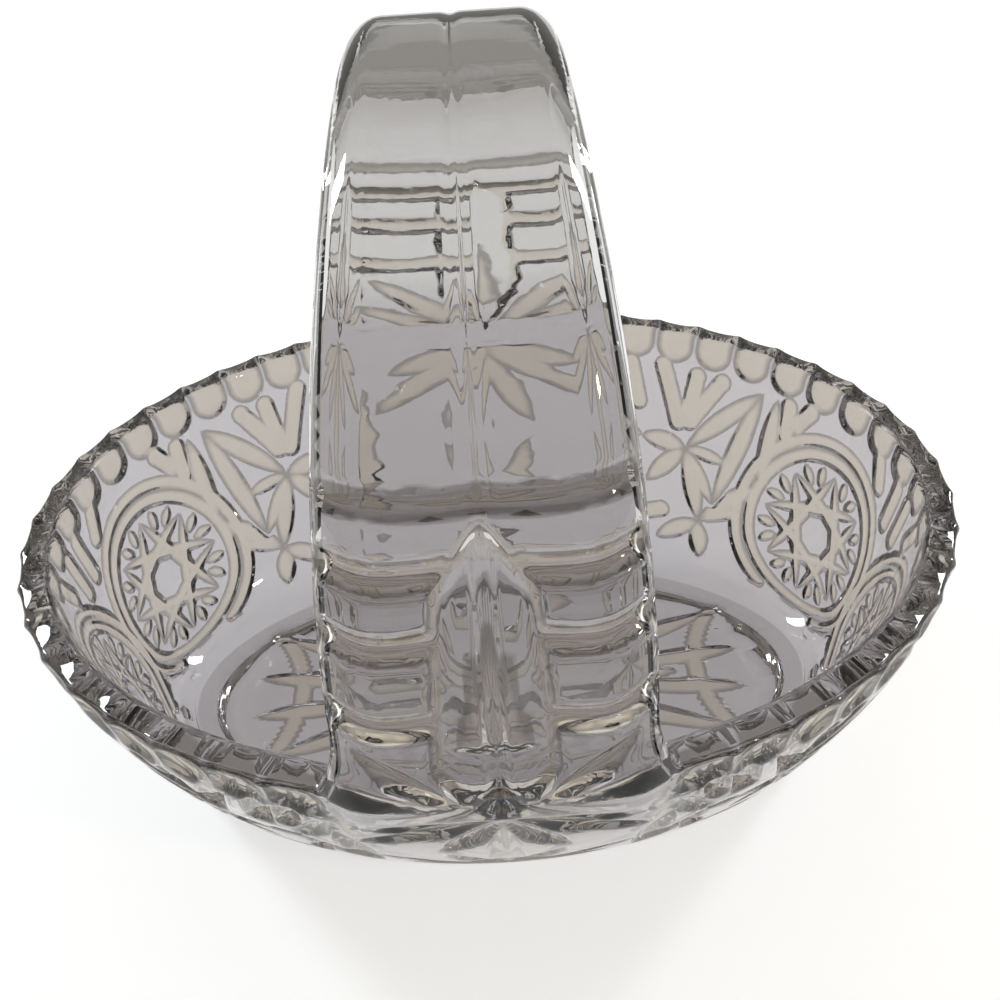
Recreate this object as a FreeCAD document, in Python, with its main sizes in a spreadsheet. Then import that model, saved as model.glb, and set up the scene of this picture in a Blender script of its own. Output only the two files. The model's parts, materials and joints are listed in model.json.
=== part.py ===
# Glass basket, pressed in one piece: an oval flared bowl on a foot ring, a fluted rim, a broad strap handle
# that arches across the width, and a cut pattern of round medallions, mitres and petals on the outside.
# Frame: millimetres, +Z up, X along the oval, Y across it. The origin is at the middle of the underside.
import FreeCAD, Part
import math
import os

V = FreeCAD.Vector
doc = FreeCAD.newDocument("GlassBasket")

# Driving dimensions
SIZES = [
    ("rim_length", 190.0, "bowl at the rim, along X"),
    ("rim_width", 150.0, "bowl at the rim, along Y"),
    ("rim_height", 68.0, "rim above the table"),
    ("shoulder_length", 166.0, "bowl just above the foot ring, along X"),
    ("shoulder_width", 99.0, "bowl just above the foot ring, along Y"),
    ("bowl_fullness", 1.35, "exponent of the wall's outline: 1 is a straight flare"),
    ("foot_height", 7.0, "height of the foot ring"),
    ("foot_length", 158.0, "underside of the foot ring, along X"),
    ("foot_width", 90.0, "underside of the foot ring, along Y"),
    ("foot_step", 1.6, "step between the foot ring and the bowl above it"),
    ("foot_ring_width", 8.0, "bearing face of the foot ring"),
    ("foot_recess", 2.5, "depth of the hollow inside the foot ring"),
    ("wall_thickness", 6.5, "bowl wall, level"),
    ("base_thickness", 6.5, "glass between the foot's hollow and the bowl's floor"),
    ("floor_corner_height", 13.0, "height of the round corner between floor and wall"),
    ("floor_corner_reach", 15.0, "reach of that corner over the floor"),
    ("crest_height", 158.0, "top of the handle above the table"),
    ("strap_root_width", 49.0, "handle where it leaves the rim"),
    ("strap_crest_width", 35.0, "handle at its crest"),
    ("strap_thickness", 7.5, "handle, from its outer to its inner face"),
    ("strap_crown", 0.9, "how far each of the handle's two lobes swells"),
    ("strap_shoulder", 2.2, "how far the outer face falls at its edges"),
    ("strap_edge_round", 3.0, "reach of the handle's bevelled edge"),
    ("strap_groove", 0.7, "depth of the groove along the middle of the handle"),
    ("strap_flare", 3.5, "widening of the handle at the rim, each side"),
    ("strap_flare_angle", 7.0, "how far up the arch that widening reaches, degrees"),
    ("strap_root_depth", 9.0, "how far the handle runs down inside the wall"),
    ("flute_pitch", 10.6, "spacing of the rim's flutes"),
    ("flute_radius", 8.0, "radius of the wheel that shapes a flute"),
    ("flute_depth", 1.8, "depth of a flute at the rim"),
    ("flute_drop", 11.0, "how far a flute runs down from the rim"),
    ("medallion_radius", 22.0, "middle of the medallion's round frame"),
    ("medallion_angle", 20.0, "place of a medallion round the oval, degrees from the end"),
    ("medallion_height", 32.0, "middle of a medallion above the table"),
    ("frame_width", 5.0, "width of the medallion's frame"),
    ("frame_depth", 1.3, "depth of the medallion's frame"),
    ("star_radius", 17.5, "reach of the star inside a medallion"),
    ("mitre_width", 4.4, "width of a long mitre cut"),
    ("mitre_depth", 1.7, "depth of a long mitre cut"),
    ("fine_width", 3.0, "width of a short or fine cut"),
    ("fine_depth", 1.2, "depth of a short or fine cut"),
    ("petal_width", 5.2, "width of a blunt-ended petal"),
    ("petal_depth", 1.5, "depth of a petal"),
    ("leaf_width", 18.0, "width of the long leaf on each leg of the handle"),
    ("leaf_depth", 2.4, "depth of that leaf"),
    ("rung_width", 4.6, "width of the cross cuts beside the leaf"),
    ("rung_depth", 1.5, "depth of the cross cuts"),
]
sheet = doc.addObject("Spreadsheet::Sheet", "Sizes")
for row, (alias, value, note) in enumerate(SIZES, start=1):
    sheet.set(f"A{row}", note)
    sheet.set(f"B{row}", str(value))
    sheet.setAlias(f"B{row}", alias)
doc.recompute()
size = {alias: float(sheet.get(alias)) for alias, value, note in SIZES}

MARGIN = 20.0                     # how far a cutting block reaches past the glass
TIP_LIFT = 0.12                   # a cut's tip starts this far outside the surface
OPEN_OUT = 2.2                    # how far a cut's sides run on past the surface, as a share of its depth
WALL_SHARES = (0.0, 0.14, 0.28, 0.42, 0.56, 0.7, 0.84, 1.0)    # levels of the outer wall's ovals
CORNER_ANGLES = (0.0, 26.0, 50.0, 72.0)                    # turns of the round corner inside
INNER_SHARES = (0.31, 0.45, 0.59, 0.73, 0.86, 1.0)         # levels of the inner wall's ovals above it


# The oval bowl: half sizes of its outer outline at a share of the wall's height
def swell(share):
    return 1.0 - (1.0 - share) ** size["bowl_fullness"]


def half_sizes(share):
    grow = swell(min(max(share, 0.0), 1.0))
    return tuple(
        (size[f"shoulder_{way}"] + (size[f"rim_{way}"] - size[f"shoulder_{way}"]) * grow) / 2.0
        for way in ("length", "width")
    )


wall_height = size["rim_height"] - size["foot_height"]


def share_of(height):
    return (height - size["foot_height"]) / wall_height


def on_wall(angle, share):
    """Point of the bowl's outside and its outward normal, at an angle round the oval."""
    turn = math.radians(angle)
    step = 0.002

    def point(a, s):
        along, across = half_sizes(s)
        return V(along * math.cos(a), across * math.sin(a), size["foot_height"] + wall_height * s)

    lower = min(max(share - step, 0.0), 1.0 - 2.0 * step)
    round_way = point(turn + step, share) - point(turn - step, share)
    up_way = point(turn, lower + 2.0 * step) - point(turn, lower)
    return point(turn, share), round_way.cross(up_way).normalize()


# The strap handle: its arch in the YZ plane, its width along the arch, and its section
ROOT_ANGLE = -6.0                 # the path's stretch below zero runs down inside the wall
rise = size["crest_height"] - size["rim_height"] - size["strap_crown"]
reach = size["rim_width"] / 2.0


def arch(angle):
    """Middle of the strap's outer face, and the outward normal. 0 degrees is the rim, 90 the crest."""
    if angle < 0.0:
        depth = angle / ROOT_ANGLE * size["strap_root_depth"]
        return on_wall(90.0, 1.0 - depth / wall_height)
    turn = math.radians(angle)
    point = V(0, reach * math.cos(turn), size["rim_height"] + rise * math.sin(turn))
    normal = V(0, math.cos(turn) / reach, math.sin(turn) / rise).normalize()
    return point, normal


FLANK_END = 0.26                  # the face's two lobes: each flank ends here, as a share of the half width
FLANK_RISE = 0.6                  # and has risen this share of the lobe's height
LOBE_TOP = 0.56                   # the lobe is highest here
FACE_EDGE = 0.4                   # the face ends this share of the edge's reach inside the strap's edge


def strap_half_width(angle):
    turn = math.radians(min(max(angle, 0.0), 90.0))
    spread = size["strap_root_width"] - size["strap_crest_width"]
    taper = size["strap_crest_width"] + spread * math.cos(turn) ** 2
    flare = size["strap_flare"] * max(0.0, 1.0 - max(angle, 0.0) / size["strap_flare_angle"]) ** 2
    return taper / 2.0 + flare


def strap_profile(angle):
    """Half of the strap's outer face as places across it and heights over the middle of that face."""
    half = strap_half_width(angle)
    sink = size["strap_crown"] * min(angle / ROOT_ANGLE, 1.0) if angle < 0.0 else 0.0
    crown = size["strap_crown"] - sink
    groove = size["strap_groove"] + sink
    return [
        (0.0, -groove),
        (FLANK_END * half, FLANK_RISE * (crown + groove) - groove),
        (LOBE_TOP * half, crown),
        (half - FACE_EDGE * size["strap_edge_round"], -size["strap_shoulder"]),
    ]


def on_strap(x, angle):
    point, normal = arch(angle)
    profile = strap_profile(angle)
    height = profile[-1][1]
    for (near, low), (far, high) in zip(profile, profile[1:]):
        if near <= x <= far:
            height = low + (high - low) * (x - near) / (far - near)
            break
    return point + V(x, 0, 0) + normal * height, normal


def strap_section(angle):
    """Half of the strap's section, from its middle plane to one edge, as a closed wire."""
    point, normal = arch(angle)
    half = strap_half_width(angle)
    thick = size["strap_thickness"]
    outline = strap_profile(angle) + [
        (half, -(size["strap_shoulder"] + thick) / 2.0),
        (half - size["strap_edge_round"], -thick),
        (0.0, -thick),
    ]
    corners = [point + V(x, 0, 0) + normal * height for x, height in outline]
    return Part.makePolygon(corners + corners[:1])


# Cutters
def solid_of(triangles):
    faces = [Part.Face(Part.makePolygon([a, b, c, a])) for a, b, c in triangles]
    solid = Part.Solid(Part.Shell(faces))
    if solid.Volume < 0:
        solid.reverse()
    return solid


def trough(tips, sections):
    """A V cut from tip to tip: each section has the point on the surface, its outward way, half width, depth."""
    along = (tips[1] - tips[0]).normalize()
    rings = []
    for middle, out, half_width, depth in sections:
        side = along.cross(out).normalize() * half_width
        bottom = middle - out * depth
        rings.append((bottom, bottom + (side + out * depth) * OPEN_OUT, bottom + (out * depth - side) * OPEN_OUT))
    triangles = []
    for tip, (bottom, left, right) in zip(tips, (rings[0], rings[-1])):
        triangles += [(tip, bottom, left), (tip, left, right), (tip, right, bottom)]
    for here, there in zip(rings, rings[1:]):
        for i in range(3):
            j = (i + 1) % 3
            triangles += [(here[i], there[i], here[j]), (here[j], there[i], there[j])]
    return solid_of(triangles)


LONG_CUT = 26.0                   # a cut longer than this follows the surface at three places, not one
LONG_CUT_PLACES = (0.22, 0.5, 0.78)    # those places, as shares of its length
SHORT_CUT_PLACES = (0.5,)


def mitre(surface, start, end, width, depth):
    """A V cut with pointed ends, from one place of a surface to another."""
    first, first_out = surface(*start)
    last, last_out = surface(*end)
    shares = LONG_CUT_PLACES if (last - first).Length > LONG_CUT else SHORT_CUT_PLACES
    sections = []
    for share in shares:
        middle, out = surface(*(a + (b - a) * share for a, b in zip(start, end)))
        sections.append((middle, out, width / 2.0, depth))
    return trough((first + first_out * TIP_LIFT, last + last_out * TIP_LIFT), sections)


PETAL_SPREAD = 0.3                # how much wider a petal is at its mouth and narrower at its floor
PETAL_NOSE = 0.4                  # half of a petal's flat end, as a share of its half width
PETAL_CORNER = 0.6                # length of the cut-off corners beside that end, likewise


def petal(surface, start, end, width, depth):
    """A finger-shaped hollow: a flat-bottomed cut with blunt eight-sided ends."""
    first, first_out = surface(*start)
    last, last_out = surface(*end)
    out = (first_out + last_out).normalize()
    along = (last - first).normalize()
    side = along.cross(out).normalize()
    middle = (first + last) * 0.5
    wires = []
    for lift, spread in ((-depth, -PETAL_SPREAD), (depth, PETAL_SPREAD)):
        half_width = width * (1.0 + spread) / 2.0
        half_length = (last - first).Length / 2.0 + half_width
        shoulder = half_length - PETAL_CORNER * half_width
        nose = PETAL_NOSE * half_width
        outline = [
            (half_length, nose), (shoulder, half_width), (-shoulder, half_width), (-half_length, nose),
            (-half_length, -nose), (-shoulder, -half_width), (shoulder, -half_width), (half_length, -nose),
        ]
        corners = [middle + out * lift + along * a + side * b for a, b in outline]
        wires.append(Part.makePolygon(corners + corners[:1]))
    return Part.makeLoft(wires, True, True)


# Forms as document objects, tied to the sheet
def oval(name, length, width, height):
    """An oval whose full length, width and height are expressions of the sheet."""
    shape = doc.addObject("Part::Ellipse", name)
    shape.setExpression("MajorRadius", f"({length}) / 2")
    shape.setExpression("MinorRadius", f"({width}) / 2")
    shape.setExpression("Placement.Base.z", height)
    return shape


def ruled_loft(name, sections):
    shape = doc.addObject("Part::Loft", name)
    shape.Sections = sections
    shape.Solid = True
    shape.Ruled = True
    return shape


def outline_at(way, share):
    grow = f"(1 - pow(1 - {share}; Sizes.bowl_fullness))"
    return f"Sizes.shoulder_{way} + (Sizes.rim_{way} - Sizes.shoulder_{way}) * {grow}"


def wall_oval(name, share, height, inset):
    """An oval of the wall at a share of its height, drawn in all round by the inset."""
    return oval(name, f"{outline_at('length', share)} - 2 * {inset}",
                f"{outline_at('width', share)} - 2 * {inset}", height)


wall_rise = "(Sizes.rim_height - Sizes.foot_height)"
outer_form = ruled_loft("OuterForm", [
    wall_oval(f"OuterOval{i}", share, f"Sizes.foot_height + {wall_rise} * {share}", "0")
    for i, share in enumerate(WALL_SHARES)
])
core_form = ruled_loft("CoreForm", [
    wall_oval(f"CoreOval{i}", share, f"Sizes.foot_height + {wall_rise} * {share}", "Sizes.frame_depth")
    for i, share in enumerate(WALL_SHARES)
])
foot_form = ruled_loft("FootForm", [
    oval("FootOvalLow", "Sizes.foot_length", "Sizes.foot_width", "0 * Sizes.foot_height"),
    oval("FootOvalTop", "Sizes.shoulder_length - 2 * Sizes.foot_step",
         "Sizes.shoulder_width - 2 * Sizes.foot_step", "Sizes.foot_height"),
])
foot_hollow = ruled_loft("FootHollow", [
    oval(f"HollowOval{i}", "Sizes.foot_length - 2 * Sizes.foot_ring_width",
         "Sizes.foot_width - 2 * Sizes.foot_ring_width", f"Sizes.foot_recess * {level}")
    for i, level in enumerate((-1, 1))
])

floor_level = "(Sizes.foot_recess + Sizes.base_thickness)"
inner_ovals = []
for i, angle in enumerate(CORNER_ANGLES):
    up = 1.0 - math.cos(math.radians(angle))
    inward = 1.0 - math.sin(math.radians(angle))
    level = f"{floor_level} + Sizes.floor_corner_height * {up:.6f}"
    inner_ovals.append(wall_oval(
        f"CornerOval{i}", f"(({level} - Sizes.foot_height) / {wall_rise})", level,
        f"(Sizes.wall_thickness + Sizes.floor_corner_reach * {inward:.6f})"))
for i, share in enumerate(INNER_SHARES):
    inner_ovals.append(wall_oval(
        f"InnerOval{i}", share, f"Sizes.foot_height + {wall_rise} * {share}", "Sizes.wall_thickness"))
inner_form = ruled_loft("InnerForm", inner_ovals)
doc.recompute()


def feature(name, shape):
    made = doc.addObject("Part::Feature", name)
    made.Shape = shape
    return made


quarter = feature("QuarterBlock", Part.makeBox(
    size["rim_length"], size["rim_width"], size["crest_height"] + 2.0 * MARGIN, V(0, 0, -MARGIN)))

# The strap: sections from inside the wall, through the flare at its root, over the crest and a little past it
STRAP_STEP = 6.75                 # degrees of the arch from one section to the next
STRAP_STATIONS = [ROOT_ANGLE, ROOT_ANGLE / 2.0, 0.0, 2.5, 5.0] + [9.0 + STRAP_STEP * i for i in range(13)] + [96.0]
strap_form = feature("StrapForm", Part.makeLoft([strap_section(a) for a in STRAP_STATIONS], True, True))


def prism(centre, first_way, second_way, radius, turns, run):
    """A straight bar of many sides: its corners lie on a circle, at the given turns in degrees."""
    corners = []
    for turn in turns:
        angle = math.radians(turn)
        corners.append(centre + (first_way * math.cos(angle) + second_way * math.sin(angle)) * radius)
    return Part.Face(Part.makePolygon(corners + corners[:1])).extrude(run)


# The rim's flutes: evenly spaced from the middle of an end to the foot of the handle
FLUTE_TURNS = (90.0, 50.0, 17.0, -17.0, -50.0, -90.0)      # corners of the cutting bar, from its lowest line


def rim_flutes():
    along, across = half_sizes(1.0)
    flare_end = strap_half_width(0.0) - size["strap_flare"]
    last_angle = math.degrees(math.acos(flare_end / along))
    rim_curve = Part.Ellipse(V(0, 0, 0), along, across)
    run = rim_curve.length(0.0, math.radians(last_angle))
    count = max(2, round(run / size["flute_pitch"]))
    cutters = []
    for k in range(count):
        angle = math.degrees(rim_curve.parameterAtDistance(run / count * (k + 0.5), 0.0))
        top, out = on_wall(angle, 1.0)
        low, low_out = on_wall(angle, 1.0 - size["flute_drop"] / wall_height)
        top_axis = top + out * (size["flute_radius"] - size["flute_depth"])
        low_axis = low + low_out * size["flute_radius"]
        way = top_axis - low_axis
        side = out.cross(way).normalize()
        inward = side.cross(way).normalize()
        if inward.dot(out) > 0.0:
            inward = inward * -1.0
        cutters.append(prism(low_axis - way, inward, side, size["flute_radius"], FLUTE_TURNS, way * 3.0))
    return cutters


# The medallion: a round frame that follows the wall, and an eight-pointed star inside it
medallion_middle, medallion_out = on_wall(size["medallion_angle"], share_of(size["medallion_height"]))
level_way = V(0, 0, 1).cross(medallion_out).normalize()
up_way = medallion_out.cross(level_way)
FRAME_REACH = 12.0                # how deep the frame's cutter reaches, half of it inside the wall
FRAME_SIDES = 20                  # the round frame is cut with this many straight facets


def in_medallion(turn, radius):
    """Angle and share of the wall at a place of the medallion, from its middle."""
    across = radius * math.cos(math.radians(turn))
    up = radius * math.sin(math.radians(turn))
    spot = medallion_middle + level_way * across + up_way * up
    share = share_of(spot.z)
    along, wide = half_sizes(share)
    return math.degrees(math.atan2(spot.y / wide, spot.x / along)), share


def medallion_frame():
    start = medallion_middle - medallion_out * (FRAME_REACH / 2.0)
    turns = [360.0 * k / FRAME_SIDES for k in range(FRAME_SIDES)]
    discs = [
        prism(start, level_way, up_way, size["medallion_radius"] + side * size["frame_width"] / 2.0,
              turns, medallion_out * FRAME_REACH)
        for side in (1, -1)
    ]
    return discs[0].cut(discs[1]).cut(core_form.Shape)


STAR_POINTS = 8
STAR_SKIP = 3


def hobstar():
    step = 360.0 / STAR_POINTS
    corners = [in_medallion(step * k, size["star_radius"]) for k in range(STAR_POINTS)]
    return [
        mitre(on_wall, corners[k], corners[(k + STAR_SKIP) % STAR_POINTS], size["fine_width"], size["fine_depth"])
        for k in range(STAR_POINTS)
    ]


# The open wall between medallion and handle: named places, then the cuts that join them
SPOTS = {
    "blade_top": (43.0, 0.80),
    "corner": (39.0, 0.44),
    "blade_foot": (47.5, 0.26),
    "hub": (55.0, 0.50),
    "hub_high": (62.5, 0.80),
    "hub_side": (66.0, 0.55),
    "hub_low": (54.0, 0.12),
    "hub_low_side": (65.0, 0.24),
    "toe": (45.0, 0.06),
    "side_low": (72.0, 0.06),
    "side_high": (73.0, 0.78),
    "panel_top": (90.0, 0.90),
    "panel_foot": (90.0, 0.06),
    "panel_edge_high": (75.0, 0.62),
    "panel_edge_low": (75.0, 0.30),
}
LONG_CUTS = [
    ("blade_top", "corner"), ("blade_top", "blade_foot"), ("hub", "hub_high"), ("hub", "hub_low"),
    ("hub", "hub_low_side"), ("corner", "toe"), ("side_high", "side_low"),
    ("panel_top", "panel_edge_high"), ("panel_foot", "panel_edge_low"),
    ("panel_top", "panel_foot"),
]
SHORT_CUTS = [("hub", "blade_foot"), ("hub", "hub_side"), ("hub_low", "toe")]
PETALS = [
    ((51.5, 0.66), (54.5, 0.80)), ((50.5, 0.66), (48.5, 0.80)),
    ((33.0, 0.72), (36.5, 0.80)), ((69.0, 0.70), (67.0, 0.80)),
]


def wall_cuts():
    cutters = [
        mitre(on_wall, SPOTS[a], SPOTS[b], size["mitre_width"], size["mitre_depth"]) for a, b in LONG_CUTS
    ]
    cutters += [
        mitre(on_wall, SPOTS[a], SPOTS[b], size["fine_width"], size["fine_depth"]) for a, b in SHORT_CUTS
    ]
    cutters += [petal(on_wall, a, b, size["petal_width"], size["petal_depth"]) for a, b in PETALS]
    return cutters


# The handle's legs: a long leaf up the middle and cross cuts beside it
LEAF_ENDS = (-5.0, 32.0)
LEAF_SHAPE = ((1.0, 0.7), (10.0, 1.0), (20.0, 0.8))        # arch angle, share of the leaf's width and depth
RUNG_ANGLES = (27.0, 20.0, 12.0)
RUNG_SLANT = 1.5                  # how much higher on the arch a cross cut ends at the strap's edge


def strap_cuts():
    sections = []
    for angle, share in LEAF_SHAPE:
        point, normal = arch(angle)
        sections.append((point, normal, size["leaf_width"] / 2.0 * share, size["leaf_depth"] * share))
    cutters = [trough([arch(angle)[0] for angle in LEAF_ENDS], sections)]
    for angle in RUNG_ANGLES:
        start = (size["leaf_width"] / 2.0, angle)
        end = (strap_half_width(angle) - size["strap_edge_round"] / 2.0, angle + RUNG_SLANT)
        cutters.append(mitre(on_strap, start, end, size["rung_width"], size["rung_depth"]))
    return cutters


# The base: long rays from the middle of the foot's hollow, and a short one in each wide gap
BASE_RAYS = (33.0, 90.0)
BASE_SHORT_RAYS = (0.0, 62.0)
RAY_REACH = 0.92
SHORT_RAY_ENDS = (0.32, 0.78)


def on_base(x, y):
    return V(x, y, size["foot_recess"]), V(0, 0, -1)


def base_star():
    along = size["foot_length"] / 2.0 - size["foot_ring_width"]
    across = size["foot_width"] / 2.0 - size["foot_ring_width"]

    def ray(turn, share):
        return along * share * math.cos(math.radians(turn)), across * share * math.sin(math.radians(turn))

    cutters = [
        mitre(on_base, (0.0, 0.0), ray(turn, RAY_REACH), size["mitre_width"], size["mitre_depth"])
        for turn in BASE_RAYS
    ]
    cutters += [
        mitre(on_base, *(ray(turn, share) for share in SHORT_RAY_ENDS), size["mitre_width"], size["fine_depth"])
        for turn in BASE_SHORT_RAYS
    ]
    return cutters


# One quarter of the glass, carved, then mirrored to the whole
bowl_quarter = outer_form.Shape.fuse(foot_form.Shape).common(quarter.Shape)
bowl_quarter = bowl_quarter.cut(rim_flutes() + [medallion_frame()])
glass_quarter = bowl_quarter.fuse(strap_form.Shape.common(quarter.Shape))
glass_quarter = glass_quarter.cut(
    [inner_form.Shape, foot_hollow.Shape] + hobstar() + wall_cuts() + strap_cuts() + base_star())
carved = feature("CarvedQuarter", glass_quarter)

half_glass = doc.addObject("Part::Mirroring", "OtherEnd")
half_glass.Source = carved
half_glass.Normal = V(1, 0, 0)
two_quarters = doc.addObject("Part::MultiFuse", "TwoQuarters")
two_quarters.Shapes = [carved, half_glass]
two_quarters.Refine = True
other_side = doc.addObject("Part::Mirroring", "OtherSide")
other_side.Source = two_quarters
other_side.Normal = V(0, 1, 0)
basket = doc.addObject("Part::MultiFuse", "GlassBasketWhole")
basket.Shapes = [two_quarters, other_side]
basket.Refine = True
basket.Label = "glass_basket"
doc.recompute()

for item in doc.Objects:
    if "Invalid" in item.State or "Error" in item.State:
        raise RuntimeError(f"{item.Name} failed: {item.State}")
shape = basket.Shape
if shape.isNull() or not shape.isValid() or len(shape.Solids) != 1:
    raise RuntimeError(f"{basket.Label}: valid {shape.isValid()}, solids {len(shape.Solids)}")
os.makedirs("parts", exist_ok=True)
shape.exportStep(f"parts/{basket.Label}.step")
print(basket.Label, "volume cm3 %.1f" % (shape.Volume / 1000.0), "faces", len(shape.Faces))
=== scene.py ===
# %% [markdown]
# # A pressed glass basket
# The real basket is one piece of clear glass, pressed hot in an iron mould: an oval bowl that flares from
# a foot ring, a fluted rim, a broad strap handle across the width, and a pattern that the mould leaves
# outside, as soft grooves rather than sharp cuts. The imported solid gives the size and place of
# everything. Here the same form is laid out again as a fine mesh, and the pattern is pressed into it with
# its soft edges.
# %% Load the frame
import json
import math

import bpy
import numpy as np
from mathutils import Matrix, Vector

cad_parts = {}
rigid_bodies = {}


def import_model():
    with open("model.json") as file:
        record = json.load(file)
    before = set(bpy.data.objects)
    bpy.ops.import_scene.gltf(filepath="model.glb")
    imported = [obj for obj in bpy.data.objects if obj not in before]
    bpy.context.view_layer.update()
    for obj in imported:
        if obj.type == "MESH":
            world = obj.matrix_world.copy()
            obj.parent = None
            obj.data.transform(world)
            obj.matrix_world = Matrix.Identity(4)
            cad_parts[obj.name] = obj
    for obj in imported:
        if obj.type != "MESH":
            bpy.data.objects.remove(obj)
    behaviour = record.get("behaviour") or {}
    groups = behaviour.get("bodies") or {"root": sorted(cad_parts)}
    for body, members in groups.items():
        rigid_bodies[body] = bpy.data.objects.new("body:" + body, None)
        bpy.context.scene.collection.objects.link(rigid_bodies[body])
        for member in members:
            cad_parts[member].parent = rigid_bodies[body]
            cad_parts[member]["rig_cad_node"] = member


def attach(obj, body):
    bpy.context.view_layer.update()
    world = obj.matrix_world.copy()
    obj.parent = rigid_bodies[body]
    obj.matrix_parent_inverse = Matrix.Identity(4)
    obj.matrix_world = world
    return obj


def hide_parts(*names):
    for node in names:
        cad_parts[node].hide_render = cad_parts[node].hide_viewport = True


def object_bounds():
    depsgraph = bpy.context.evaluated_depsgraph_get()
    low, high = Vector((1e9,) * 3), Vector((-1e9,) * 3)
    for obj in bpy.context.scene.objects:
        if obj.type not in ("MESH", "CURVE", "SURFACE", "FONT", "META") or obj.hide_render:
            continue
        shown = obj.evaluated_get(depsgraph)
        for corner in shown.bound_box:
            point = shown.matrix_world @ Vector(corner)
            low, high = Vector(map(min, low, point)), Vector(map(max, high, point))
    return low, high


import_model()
solid_low, solid_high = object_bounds()
print("solid, mm:", [round(1000 * (b - a), 1) for a, b in zip(solid_low, solid_high)])

# %% [markdown]
# ## Sizes
# A glass maker's drawing gives the outlines of the oval at its foot, its shoulder and its rim, and how
# full the wall is between them. The length at the rim and the height of the handle are read from the
# solid. The other sizes are those of the mould, in metres, and every place of the pattern is worked out
# from them.
# %% Sizes of the glass
MM = 0.001
RIM = (solid_high.x - solid_low.x, 150 * MM)
SHOULDER = (166 * MM, 99 * MM)
FOOT = (158 * MM, 90 * MM)
RIM_HEIGHT = 68 * MM
FOOT_HEIGHT = 7 * MM
CREST_HEIGHT = solid_high.z
FULLNESS = 1.35
WALL = 6.5 * MM
FOOT_RING = 8 * MM
RECESS = 2.5 * MM
FLOOR = 9 * MM
CORNER_RISE, CORNER_REACH = 13 * MM, 15 * MM
STRAP_ROOT, STRAP_CREST, STRAP_THICK = 49 * MM, 35 * MM, 7.5 * MM
STRAP_CROWN, STRAP_GROOVE, STRAP_SHOULDER = 0.9 * MM, 0.35 * MM, 2.2 * MM
wall_rise = RIM_HEIGHT - FOOT_HEIGHT


def half_sizes(share):
    """Half length and half width of the outer wall at a share of its height."""
    grow = 1 - (1 - np.clip(share, 0, 1)) ** FULLNESS
    return tuple((low + (high - low) * grow) / 2 for low, high in zip(SHOULDER, RIM))


def on_wall(angle, share):
    """Points of the outer wall. The angle goes round the oval in degrees, from the end of its length."""
    along, across = half_sizes(share)
    turn = np.radians(angle)
    height = FOOT_HEIGHT + wall_rise * share + 0 * turn
    return np.stack([along * np.cos(turn), across * np.sin(turn), height], -1)


print("half sizes at mid height, mm:", [round(1000 * float(v), 1) for v in half_sizes(0.5)])

# %% [markdown]
# ## The section of the bowl
# The bowl's wall is followed once round: from the middle of the underside, over the foot ring, up the
# outside, over the rim and down to the middle of the floor. Each row of that section is an oval with its
# own half length, half width and height, so the whole bowl is a list of rows. Corners get a small radius,
# because hot glass never leaves the mould with a knife edge. The outside has many rows, since the pattern
# needs them.
# %% Rows of the section
RIM_ROUND = 1.5 * MM
HOLLOW_ROUND, FOOT_ROUND = 0.6 * MM, 1 * MM
STEP_BACK = 1.6 * MM              # how far the wall stands back over the foot before its pattern starts
POLE = 0.03                       # the smallest ring round a pole, as a share of its disc


def arc_rows(corner, radius, start, stop, steps):
    """Rows of a round corner: the corner is a centre row, and the turn runs from start to stop in degrees."""
    along, across, height = corner
    rows = []
    for turn in np.radians(np.linspace(start, stop, steps)):
        out, up = radius * math.cos(turn), radius * math.sin(turn)
        rows.append((along + out, across + out, height + up))
    return rows


def disc_rows(along, across, height, shares):
    return [(along * s, across * s, height) for s in shares]


def bowl_rows():
    hollow = [half / 2 - FOOT_RING for half in FOOT]
    foot = [half / 2 for half in FOOT]
    rows = [(0, 0, RECESS)] + disc_rows(*hollow, RECESS, np.linspace(POLE, 0.985, 38))
    edge = [half + 2 * HOLLOW_ROUND for half in hollow]
    rows += arc_rows((*edge, HOLLOW_ROUND), HOLLOW_ROUND, 180, 270, 4)
    rows += arc_rows((foot[0] - FOOT_ROUND, foot[1] - FOOT_ROUND, FOOT_ROUND), FOOT_ROUND, -90, -10, 5)
    step = [half - STEP_BACK for half in half_sizes(0.0)]
    for share in np.linspace(0.15, 0.85, 6):
        rows.append(tuple(a + (b - a) * share for a, b in zip(foot, step)) + (FOOT_HEIGHT * share,))
    rows.append((step[0] + 0.5 * MM, step[1] + 0.5 * MM, FOOT_HEIGHT - 0.2 * MM))
    for share in np.linspace(0.012, 0.974, 160):
        rows.append((*half_sizes(share), FOOT_HEIGHT + wall_rise * share))
    top = half_sizes(0.98)
    outer = (top[0] - RIM_ROUND, top[1] - RIM_ROUND, RIM_HEIGHT - RIM_ROUND)
    inner = (top[0] - WALL + RIM_ROUND, top[1] - WALL + RIM_ROUND, RIM_HEIGHT - RIM_ROUND)
    rows += arc_rows(outer, RIM_ROUND, 12, 90, 6) + arc_rows(inner, RIM_ROUND, 90, 172, 6)
    corner_top = (FLOOR + CORNER_RISE - FOOT_HEIGHT) / wall_rise
    for share in np.linspace(0.95, corner_top, 26):
        rows.append(tuple(half - WALL for half in half_sizes(share)) + (FOOT_HEIGHT + wall_rise * share,))
    for turn in np.radians(np.linspace(84, 0, 14)):
        height = FLOOR + CORNER_RISE * (1 - math.cos(turn))
        inset = WALL + CORNER_REACH * (1 - math.sin(turn))
        halves = half_sizes((height - FOOT_HEIGHT) / wall_rise)
        rows.append(tuple(half - inset for half in halves) + (height,))
    rows += disc_rows(rows[-1][0], rows[-1][1], FLOOR, np.linspace(0.93, POLE, 16)) + [(0, 0, FLOOR)]
    return np.array(rows)


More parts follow.
